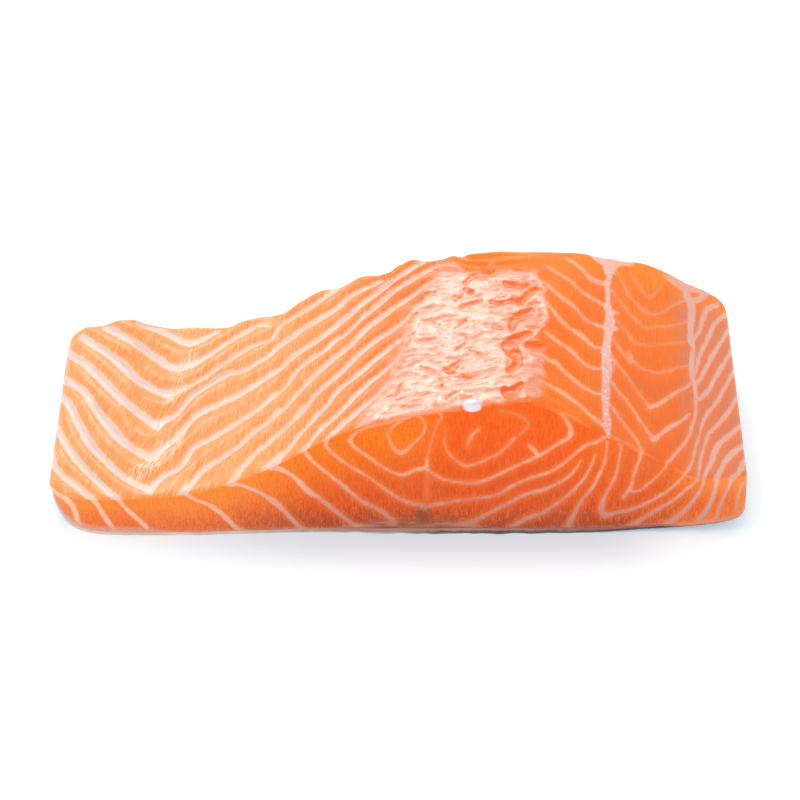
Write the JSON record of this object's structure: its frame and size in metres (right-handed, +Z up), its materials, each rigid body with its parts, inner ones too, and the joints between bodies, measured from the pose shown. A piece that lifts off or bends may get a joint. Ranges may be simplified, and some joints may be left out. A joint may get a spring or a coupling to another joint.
{
  "type": "skin-on salmon fillet portion",
  "caption": "Raw fish portion cut across one side of the fish, thick over the loin and thin at the belly, with its skin underneath.",
  "frame": {"origin": "middle of the base, on the surface the fillet lies on", "axes": "+X from the thin belly edge to the back of the fish, +Y along the fish from the near cut face to the far one, +Z up"},
  "size_m": [0.1514, 0.0697, 0.0335],
  "materials": {
    "flesh": "wet raw fish flesh, orange with white septa",
    "skin": "wet fish skin, dark at the back and silver at the belly"
  },
  "bodies": {
    "root": {"flesh": "flesh", "skin": "skin"}
  },
  "joints": []
}
